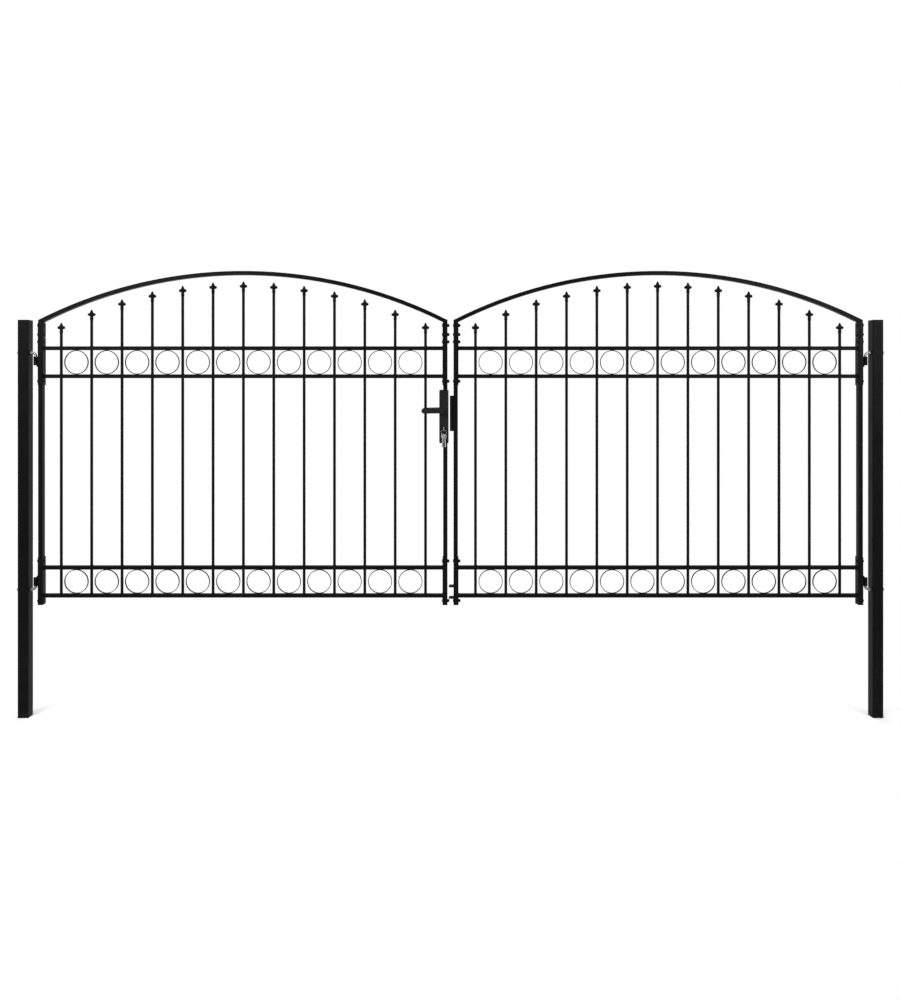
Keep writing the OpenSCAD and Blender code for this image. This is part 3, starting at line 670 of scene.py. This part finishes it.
class GATE_OT_rings(Operator):
    """Bends the rings between the rails from flat bar with eased edges"""

    bl_idname = "gate.rings"
    bl_label = "Rings"

    bar_t, ease, count, steps = 0.003, 0.0005, 12, 96

    def execute(self, context):
        spokes = rays(X_AXIS, Z_AXIS, self.steps)
        half_t = self.bar_t / 2
        for node in [side + row for side in LEAVES for row in ("_upper_rings", "_lower_rings")]:
            low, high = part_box(node)
            outer = (high.z - low.z) / 2
            bm = bmesh.new()
            for x in even_places(low.x + outer, high.x - outer, self.count):
                middle = Vector((x, 0, (low.z + high.z) / 2))
                loft(bm, [
                    box_path(middle + ray * (outer - half_t), ray, Y_AXIS, half_t, high.y, self.ease)
                    for a, ray in spokes
                ], closed=True)
            stand_in(node, node + "_bent", bm, crease=50.0)
        return {"FINISHED"}


class GATE_OT_frame_bolts(Operator):
    """Puts bolts with washers and nuts through the stiles and their channels"""

    bl_idname = "gate.frame_bolts"
    bl_label = "Frame bolts"

    heights = (1.815, 1.773, 1.739, 1.556, 0.721, 0.537)
    grip, washer_edge = 0.023, 0.0003

    def bolt(self, bm, sizes, head_face, nut_face):
        """One bolt with its head on one face and its nut on the other."""
        out = (nut_face - head_face).normalized()
        dome(bm, head_face, -out, sizes.bolt_head_d, sizes.bolt_head)
        disc(bm, nut_face, out, sizes.washer_d, sizes.washer_t, self.washer_edge)
        nut = nut_face + out * sizes.washer_t
        hex_nut(bm, nut, out, sizes.bolt_af, sizes.bolt_nut)
        thread(bm, nut, out, sizes.bolt_d, sizes.bolt_pitch, sizes.bolt_nut + sizes.bolt_end)

    def execute(self, context):
        sizes = context.scene.gate_fittings
        for side in LEAVES:
            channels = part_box(side + "_rail_channels")
            low_x, high_x = channels[0].x, channels[1].x
            bm = bmesh.new()
            # The nuts are outside, but on the lock stile of the right leaf inside
            for z in self.heights:
                faces = Vector((low_x + self.grip, 0, z)), Vector((low_x, 0, z))
                self.bolt(bm, sizes, *(faces if side == "left" else reversed(faces)))
                self.bolt(bm, sizes, Vector((high_x - self.grip, 0, z)), Vector((high_x, 0, z)))
            piece_from(side + "_frame_bolts", bm, side + "_leaf", "black_coat")
        return {"FINISHED"}


class GATE_OT_weld_beads(Operator):
    """Lays weld beads where rails, pickets, rings, arch and fittings are joined"""

    bl_idname = "gate.weld_beads"
    bl_label = "Weld beads"

    rail_half, rail_bead_half, rail_corner = 0.009, 0.0093, 0.003
    ring_depth, ring_run_min, ring_run_max = 0.008, 0.006, 0.008
    stile_w, stile_half, mitre_fall, mitre_corner = 0.020, 0.015, 0.0101, 0.0026
    sleeve_h, sleeve_in, web_half = 0.056, 0.001, 0.0045
    keeper_half, keeper_in = 0.0155, 0.004
    eye_t, eye_in = 0.009, 0.001

    def rail_heights(self, side):
        """The middle heights of a leaf's four rails, from the lowest up."""
        low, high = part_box(side + "_lower_rails"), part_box(side + "_upper_rails")
        return [z + s * self.rail_half for pair in (low, high) for z, s in ((pair[0].z, 1), (pair[1].z, -1))]

    def picket_beads(self, bm, side, r, ripple, dice):
        """A thin bead round each picket on the top of each rail."""
        u, v = side_axes(Z_AXIS)
        rails = self.rail_heights(side)
        for x in picket_places(side):
            for z in rails:
                loop = circle(Vector((x, 0, z + self.rail_half)), u, v, PICKET_R + r * 0.3, steps=24)
                bead(bm, loop, r * 0.8, ripple, dice, closed=True, sides=6)

    def ring_beads(self, bm, side, r, ripple, dice):
        """Short beads in front of each ring and behind it, at its foot and its top."""
        rails, places = self.rail_heights(side), picket_places(side)
        for a, b in zip(places, places[1:]):
            for foot, top in ((rails[0], rails[1]), (rails[2], rails[3])):
                for z in (foot + self.rail_half + r * 0.4, top - self.rail_half - r * 0.4):
                    for y in (-self.ring_depth / 2, self.ring_depth / 2):
                        mid = Vector(((a + b) / 2, y, z))
                        half = X_AXIS * dice.uniform(self.ring_run_min, self.ring_run_max)
                        bead(bm, [mid - half, mid + half], r * 0.85, ripple, dice, sides=6)

    def frame_beads(self, bm, side, r, ripple, dice):
        """Beads round the ends of the rails, and those of the arch, the sleeves and the fittings."""
        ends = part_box(side + "_upper_rails")
        half = self.rail_bead_half
        for z in self.rail_heights(side):
            for x in (ends[0].x, ends[1].x):
                loop = box_path(Vector((x, 0, z)), Y_AXIS, Z_AXIS, half, half, self.rail_corner)
                bead(bm, loop, r, ripple, dice, closed=True)
        self.corner_beads(bm, side, r, ripple, dice)
        self.sleeve_beads(bm, side, r, ripple, dice)
        if side == "right":
            self.fitting_beads(bm, r, ripple, dice)

    def corner_beads(self, bm, side, r, ripple, dice):
        """A thin bead round each mitre between the arch and a stile."""
        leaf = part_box(side + "_rail_channels")
        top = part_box(side + "_hinge_stile")[1].z
        for x, inward in ((leaf[0].x, 1), (leaf[1].x, -1)):
            across = Vector((inward * self.stile_w, 0, -self.mitre_fall))
            middle = Vector((x, 0, top)) + across / 2
            loop = box_path(
                middle, across.normalized(), Y_AXIS, across.length / 2, self.stile_half, self.mitre_corner
            )
            bead(bm, loop, r * 0.5, ripple, dice, closed=True, sides=6)

    def sleeve_beads(self, bm, side, r, ripple, dice):
        """Upright beads on both sides of each sleeve's web, where it meets the stile."""
        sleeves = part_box(side + "_hinge_sleeves")
        x = sleeves[1].x if side == "left" else sleeves[0].x
        for foot in (sleeves[0].z, sleeves[1].z - self.sleeve_h):
            low, high = foot + self.sleeve_in, foot + self.sleeve_h - self.sleeve_in
            for y in (-self.web_half, self.web_half):
                bead(bm, [Vector((x, y, low)), Vector((x, y, high))], r, ripple, dice)

    def fitting_beads(self, bm, r, ripple, dice):
        """Beads between the right leaf's lock stile and its keeper and drop bolt eyes."""
        keeper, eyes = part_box("keeper"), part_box("drop_bolt_eyes")
        low, high = keeper[0].z + self.keeper_in, keeper[1].z - self.keeper_in
        for y in (-self.keeper_half, self.keeper_half):
            bead(bm, [Vector((keeper[1].x, y, low)), Vector((keeper[1].x, y, high))], r, ripple, dice)
        front, back = eyes[0].y + self.eye_in, eyes[1].y - self.eye_in
        for z in (eyes[0].z, eyes[0].z + self.eye_t, eyes[1].z - self.eye_t, eyes[1].z):
            bead(bm, [Vector((eyes[1].x, front, z)), Vector((eyes[1].x, back, z))], r, ripple, dice)

    def execute(self, context):
        sizes = context.scene.gate_fittings
        kinds = (
            ("_picket_welds", self.picket_beads), ("_ring_welds", self.ring_beads),
            ("_frame_welds", self.frame_beads),
        )
        for side in LEAVES:
            dice = random.Random(sizes.seed + LEAVES.index(side))
            for name, lay in kinds:
                bm = bmesh.new()
                lay(bm, side, sizes.weld_r, sizes.weld_ripple, dice)
                piece_from(side + name, bm, side + "_leaf", "black_coat", crease=60.0)
        return {"FINISHED"}


class GATE_OT_hook_bolts(Operator):
    """Bends the hook bolts from rod, with a rolled thread on the end outside the post"""

    bl_idname = "gate.hook_bolts"
    bl_label = "Hook bolts"

    rod_r, bend_r, pin, bevel = 0.006, 0.015, 0.041, 0.001
    thread_end, thread_rise = 0.0055, 0.0005
    points_round, bend_steps, rows_a_turn = 40, 16, 10

    def rod(self, bm, side, z, turn, pitch):
        """One rod from its threaded tail, through the bend, to the end of its pin."""
        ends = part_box("left_hook_bolts")
        tail_x, axis_x = ends[0].x, ends[1].x - self.rod_r
        stations = []
        count = int(self.thread_end / pitch * self.rows_a_turn)
        for i in range(count + 1):
            place = Vector((tail_x + self.thread_end * i / count, 0, z))
            run = place.x - tail_x
            stations.append((place, X_AXIS, thread_radius(self.rod_r, pitch, pitch * 0.5, run, run)))
        plain_x = tail_x + self.thread_end + self.thread_rise
        stations.append((Vector((plain_x, 0, z)), X_AXIS, self.rod_r))
        middle = Vector((axis_x - self.bend_r, 0, z + turn * self.bend_r))
        for i in range(self.bend_steps + 1):
            a = math.pi / 2 * i / self.bend_steps
            out = Vector((math.sin(a), 0, -turn * math.cos(a)))
            along = Vector((math.cos(a), 0, turn * math.sin(a)))
            stations.append((middle + out * self.bend_r, along, self.rod_r))
        top = z + turn * (self.bend_r + self.pin)
        stations.append((Vector((axis_x, 0, top - turn * self.bevel)), Z_AXIS * turn, self.rod_r))
        stations.append((Vector((axis_x, 0, top)), Z_AXIS * turn, self.rod_r - self.bevel))
        loft(bm, [
            [mirrored(p, side) for p in circle(place, Y_AXIS, along.cross(Y_AXIS), r, self.points_round)]
            for place, along, r in stations
        ])

    def execute(self, context):
        pitch = context.scene.gate_fittings.hook_pitch
        for side in LEAVES:
            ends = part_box(side + "_hook_bolts")
            bm = bmesh.new()
            self.rod(bm, side, ends[0].z + self.rod_r, 1, pitch)
            self.rod(bm, side, ends[1].z - self.rod_r, -1, pitch)
            stand_in(side + "_hook_bolts", side + "_hook_rods", bm, crease=50.0)
        return {"FINISHED"}


class GATE_OT_lock_set(Operator):
    """Rounds the lock's edges and adds its screws, roses and cylinder rims"""

    bl_idname = "gate.lock_set"
    bl_label = "Lock set"

    edges = {
        "lock_case": 0.0008, "lock_front_plate": 0.0013, "lock_back_plate": 0.0013,
        "front_lever": 0.0022, "back_lever": 0.0022, "lock_cylinder": 0.0004, "latch_bolt": 0.0006,
    }
    rose_d, neck_d, rose_t = 0.030, 0.0185, 0.003
    screw_d, screw_af, screw_h, screw_in = 0.0085, 0.004, 0.0022, 0.0115
    plug_r, rim_in, rim_out, rim_t = 0.0085, 0.0052, 0.0063, 0.0006

    def rose(self, bm, foot, out):
        """A low collar round the neck of a lever."""
        inner, outer, top = self.neck_d / 2, self.rose_d / 2, self.rose_t
        collar(bm, foot, out, [
            (inner, 0.0), (outer, 0.0), (outer, top * 0.35), (outer - 0.0008, top * 0.7),
            (outer - 0.0024, top), (inner + 0.0004, top), (inner, top - 0.0004),
        ])

    def rim(self, bm, foot, out):
        """The raised edge of the turning plug in the cylinder's face."""
        inner, outer, top = self.rim_in, self.rim_out, self.rim_t
        collar(bm, foot, out, [
            (inner, 0.0), (outer, 0.0), (outer, top * 0.6), (outer - top * 0.4, top), (inner, top),
        ])

    def screw(self, bm, foot, out):
        """A domed screw with a hex socket."""
        r, h = self.screw_d / 2, self.screw_h

        def socket(a):
            return hex_radius(self.screw_af, a)

        turned(bm, foot, out, [
            (0.0, r), (h * 0.45, r), (h * 0.8, r * 0.82), (h, r * 0.62), (h, socket), (h * 0.25, socket),
        ])

    def execute(self, context):
        for node, width in self.edges.items():
            eased_copy(node, width)
        plate, lever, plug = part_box("lock_front_plate"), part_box("lever_spindle"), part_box("lock_cylinder")
        middle_x = (plate[0].x + plate[1].x) / 2
        lever_z = (lever[0].z + lever[1].z) / 2
        plug_z = plug[1].z - self.plug_r
        roses, screws, rims = bmesh.new(), bmesh.new(), bmesh.new()
        for out in (-Y_AXIS, Y_AXIS):
            face = abs(plate[0].y)
            self.rose(roses, Vector((middle_x, 0, lever_z)) + out * face, out)
            for z in (plate[1].z - self.screw_in, plate[0].z + self.screw_in):
                self.screw(screws, Vector((middle_x, 0, z)) + out * face, out)
            self.rim(rims, Vector((middle_x, 0, plug_z)) + out * abs(plug[0].y), out)
        for name, bm in (("lever_roses", roses), ("lock_screws", screws), ("cylinder_rims", rims)):
            piece_from(name, bm, "left_leaf", "lock_black")
        return {"FINISHED"}


class GATE_OT_keys(Operator):
    """Rounds the keys' edges and winds the split ring that they hang on"""

    bl_idname = "gate.keys"
    bl_label = "Keys"

    key_edge = 0.00035
    coil_r, coil_gap, coil_in, turns = 0.00042, 0.00078, 0.0008, 2
    turn_steps, points_round = 64, 10

    def execute(self, context):
        for node in ("cylinder_key", "spare_keys"):
            eased_copy(node, self.key_edge, segments=2)
        low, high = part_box("key_ring")
        middle = (low + high) / 2
        radius = (high.x - low.x) / 2 - self.coil_in
        steps = self.turn_steps * self.turns
        rings = []
        for i in range(steps + 1):
            a = 2 * math.pi * self.turns * i / steps
            ray = Vector((math.cos(a), 0, math.sin(a)))
            centre = middle + ray * radius + Y_AXIS * (self.coil_gap * (i / steps - 0.5))
            rings.append(circle(centre, ray, Y_AXIS, self.coil_r, self.points_round))
        bm = bmesh.new()
        loft(bm, rings)
        stand_in("key_ring", "split_ring", bm)
        return {"FINISHED"}


class GATE_OT_eased_edges(Operator):
    """Rounds the cut edges of the channels, sleeves, plugs, keeper and drop bolt eyes"""

    bl_idname = "gate.eased_edges"
    bl_label = "Eased edges"

    cut_edges = {
        "_rail_channels": 0.0006, "_arch_legs": 0.0006, "_hinge_sleeves": 0.0006,
        "_stile_plugs": 0.0005, "_post_plugs": 0.0005,
    }
    fitting_edges = {"keeper": 0.0008, "drop_bolt_eyes": 0.0009}

    def execute(self, context):
        for side in LEAVES:
            for part, width in self.cut_edges.items():
                eased_copy(side + part, width, segments=2)
        for node, width in self.fitting_edges.items():
            eased_copy(node, width)
        return {"FINISHED"}


class GATE_OT_stage(Operator):
    """Sets up the floor, the white surroundings, the lamps and the camera"""

    bl_idname = "gate.stage"
    bl_label = "Stage"

    lamps = {
        "key": ((-1.6, -4.6, 4.2), (3.2, 3.2)),
        "fill": ((5.8, -4.2, 3.2), (2.6, 2.6)),
        "rim": ((2.4, 4.4, 4.6), (4.0, 2.0)),
    }
    aim = (1.975, 0.0, 1.1)
    floor_reach, fade_from, fade_to = 40.0, 0.02, 0.18
    sensor_mm = 36.0

    def seen_white(self, tree):
        """1 for what the camera, a mirror or glass looks at."""
        path = add(tree, "ShaderNodeLightPath").outputs
        seen = sums(tree, "MAXIMUM", path["Is Camera Ray"], path["Is Glossy Ray"])
        return sums(tree, "MAXIMUM", seen, path["Is Transmission Ray"])

    def surroundings(self, scene, ambient):
        world = bpy.data.worlds.new("surroundings")
        scene.world = world
        world.use_nodes = True
        tree = world.node_tree
        strength = span(tree, self.seen_white(tree), 0.0, 1.0, ambient, 1.0)
        tree.links.new(strength, tree.nodes["Background"].inputs["Strength"])
        tree.nodes["Background"].inputs["Color"].default_value = (1, 1, 1, 1)

    def ground(self, stage):
        """A pale floor that keeps the shadow near the gate and fades to white away from it."""
        low, high = CAD_BOX
        bm = bmesh.new()
        bmesh.ops.create_grid(bm, x_segments=4, y_segments=4, size=self.floor_reach)
        floor = object_from("floor", bm)
        floor.location = ((low.x + high.x) / 2, 0, low.z)
        tree, shader = start_material("pale_floor")
        shader.inputs["Base Color"].default_value = (*stage.floor, 1)
        shader.inputs["Roughness"].default_value = 0.9
        shader.inputs["Specular IOR Level"].default_value = 0.0
        spot = add(tree, "ShaderNodeNewGeometry").outputs["Position"]
        place = add(tree, "ShaderNodeSeparateXYZ", {0: spot}).outputs
        along = sums(tree, "ABSOLUTE", sums(tree, "SUBTRACT", place["X"], (low.x + high.x) / 2))
        beyond = sums(tree, "MAXIMUM", sums(tree, "SUBTRACT", along, (high.x - low.x) / 2), 0.0)
        aside = sums(tree, "ABSOLUTE", place["Y"])
        squares = [sums(tree, "POWER", distance, 2.0) for distance in (beyond, aside)]
        away = sums(tree, "SQRT", sums(tree, "ADD", *squares))
        path = add(tree, "ShaderNodeLightPath").outputs
        mirrored_ray = sums(tree, "MAXIMUM", path["Is Glossy Ray"], path["Is Transmission Ray"])
        far = sums(tree, "MULTIPLY", span(tree, away, self.fade_from, self.fade_to), path["Is Camera Ray"])
        white = add(tree, "ShaderNodeEmission", {"Color": (1, 1, 1, 1), "Strength": 1.0}).outputs[0]
        mix = add(
            tree, "ShaderNodeMixShader",
            {0: sums(tree, "MAXIMUM", far, mirrored_ray), 1: shader.outputs[0], 2: white},
        )
        tree.links.new(mix.outputs[0], tree.nodes["Material Output"].inputs["Surface"])
        floor.data.materials.append(bpy.data.materials["pale_floor"])

    def lamp(self, name, place, size, power):
        data = bpy.data.lights.new(name, "AREA")
        data.shape, data.size, data.size_y, data.energy = "RECTANGLE", size[0], size[1], power
        lamp = bpy.data.objects.new(name, data)
        lamp.location = place
        lamp.rotation_euler = (Vector(self.aim) - Vector(place)).to_track_quat("-Z", "Y").to_euler()
        bpy.context.scene.collection.objects.link(lamp)

    def camera(self, scene, stage):
        data = bpy.data.cameras.new("camera")
        data.lens, data.sensor_width = stage.lens, self.sensor_mm
        data.shift_x, data.shift_y = stage.shift_x, stage.shift_y
        data.dof.use_dof = False
        camera = bpy.data.objects.new("camera", data)
        camera.location = stage.eye
        camera.rotation_euler = (math.pi / 2, 0, 0)
        scene.collection.objects.link(camera)
        scene.camera = camera

    def execute(self, context):
        scene, stage = context.scene, context.scene.gate_stage
        scene.view_settings.view_transform = "Standard"
        self.surroundings(scene, stage.ambient)
        self.ground(stage)
        for name, (place, size) in self.lamps.items():
            self.lamp(name, place, size, getattr(stage, name))
        self.camera(scene, stage)
        return {"FINISHED"}


STEPS = (
    GATE_OT_finishes, GATE_OT_spear_points, GATE_OT_rings, GATE_OT_frame_bolts, GATE_OT_weld_beads,
    GATE_OT_hook_bolts, GATE_OT_lock_set, GATE_OT_keys, GATE_OT_eased_edges, GATE_OT_stage,
)
SETTINGS = {"gate_finishes": GateFinishes, "gate_fittings": GateFittings, "gate_stage": GateStage}


class GATE_PT_panel(Panel):
    """Lists the steps that dress the gate, and their settings"""

    bl_label = "Arched double gate"
    bl_idname = "GATE_PT_panel"
    bl_space_type = "VIEW_3D"
    bl_region_type = "UI"
    bl_category = "Gate"

    def draw(self, context):
        for step in STEPS:
            self.layout.operator(step.bl_idname)
        for name in SETTINGS:
            settings = getattr(context.scene, name)
            box = self.layout.box()
            for key in settings.__annotations__:
                box.prop(settings, key)


CLASSES = (*SETTINGS.values(), *STEPS, GATE_PT_panel)


def register():
    for cls in CLASSES:
        bpy.utils.register_class(cls)
    for name, group in SETTINGS.items():
        setattr(bpy.types.Scene, name, PointerProperty(type=group))


def unregister():
    for name in SETTINGS:
        delattr(bpy.types.Scene, name)
    for cls in reversed(CLASSES):
        bpy.utils.unregister_class(cls)


def main():
    register()
    bpy.ops.gate.finishes()
    bpy.ops.gate.spear_points()
    bpy.ops.gate.rings()
    bpy.ops.gate.frame_bolts()
    bpy.ops.gate.weld_beads()
    bpy.ops.gate.hook_bolts()
    bpy.ops.gate.lock_set()
    bpy.ops.gate.keys()
    bpy.ops.gate.eased_edges()
    bpy.ops.gate.stage()


if __name__ == "__main__":
    main()
